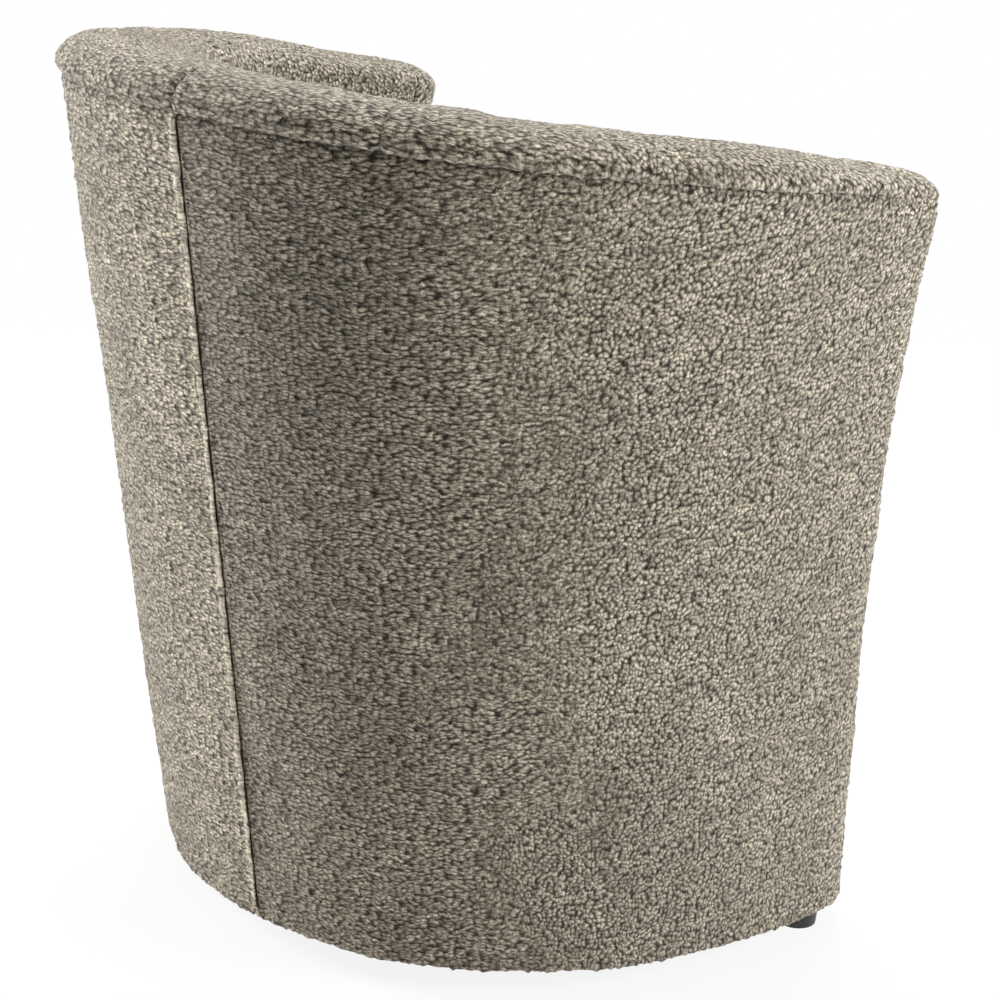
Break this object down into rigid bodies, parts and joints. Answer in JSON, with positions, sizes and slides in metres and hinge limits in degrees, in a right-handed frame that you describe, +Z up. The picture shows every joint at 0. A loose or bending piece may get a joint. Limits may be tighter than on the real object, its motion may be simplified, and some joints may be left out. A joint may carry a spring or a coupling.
{
  "type": "tub armchair",
  "caption": "Round-backed upholstered tub chair with a flared wall, padded sloping rim, bowed front, crowned round seat and short stub feet.",
  "frame": {"origin": "on the floor, under the middle of the chair's bounding box", "axes": "+Z up; the sitter faces -Y; +X is the sitter's left"},
  "size_m": [0.6944, 0.5761, 0.7367],
  "materials": {
    "chenille": "taupe looped chenille, matt",
    "foam": "cut polyurethane foam",
    "plywood": "birch plywood, raw",
    "timber": "raw hardwood",
    "fibreboard": "thin brown fibreboard",
    "black_cloth": "black non-woven cloth",
    "felt": "grey needle felt",
    "webbing": "black elastic webbing",
    "black_stain": "black stained beech, satin",
    "zinc": "zinc plated steel"
  },
  "bodies": {
    "root": {"outer_cover_left": "chenille", "outer_cover_right": "chenille", "inner_panel_centre_left": "chenille", "inner_panel_centre_right": "chenille", "inner_panel_middle_left": "chenille", "inner_panel_middle_right": "chenille", "inner_panel_arm_left": "chenille", "inner_panel_arm_right": "chenille", "back_foam": "foam", "arm_foam_left": "foam", "arm_foam_right": "foam", "base_ring": "plywood", "dust_cover": "black_cloth", "lower_back_post_left": "timber", "lower_back_post_right": "timber", "lower_side_post_left": "timber", "lower_side_post_right": "timber", "lower_front_post_left": "timber", "lower_front_post_right": "timber", "upper_back_post_left": "timber", "upper_back_post_right": "timber", "upper_side_post_left": "timber", "upper_side_post_right": "timber", "upper_front_post_left": "timber", "upper_front_post_right": "timber", "seat_ring": "plywood", "front_rail": "timber", "top_rail": "plywood", "arm_panel_left": "plywood", "arm_panel_right": "plywood", "outer_board_left": "fibreboard", "outer_board_right": "fibreboard", "inner_board": "fibreboard", "front_border_cover": "chenille", "front_border_foam": "foam", "front_board": "plywood", "seat_cover": "chenille", "seat_foam": "foam", "felt_pad": "felt", "webbing_long_1": "webbing", "webbing_long_2": "webbing", "webbing_long_3": "webbing", "webbing_long_4": "webbing", "webbing_long_5": "webbing", "webbing_cross_1": "webbing", "webbing_cross_2": "webbing", "webbing_cross_3": "webbing", "foot_front_left": "black_stain", "foot_front_right": "black_stain", "foot_rear_left": "black_stain", "foot_rear_right": "black_stain", "foot_studs": "zinc", "tee_nuts": "zinc", "post_screws": "zinc"}
  },
  "joints": []
}
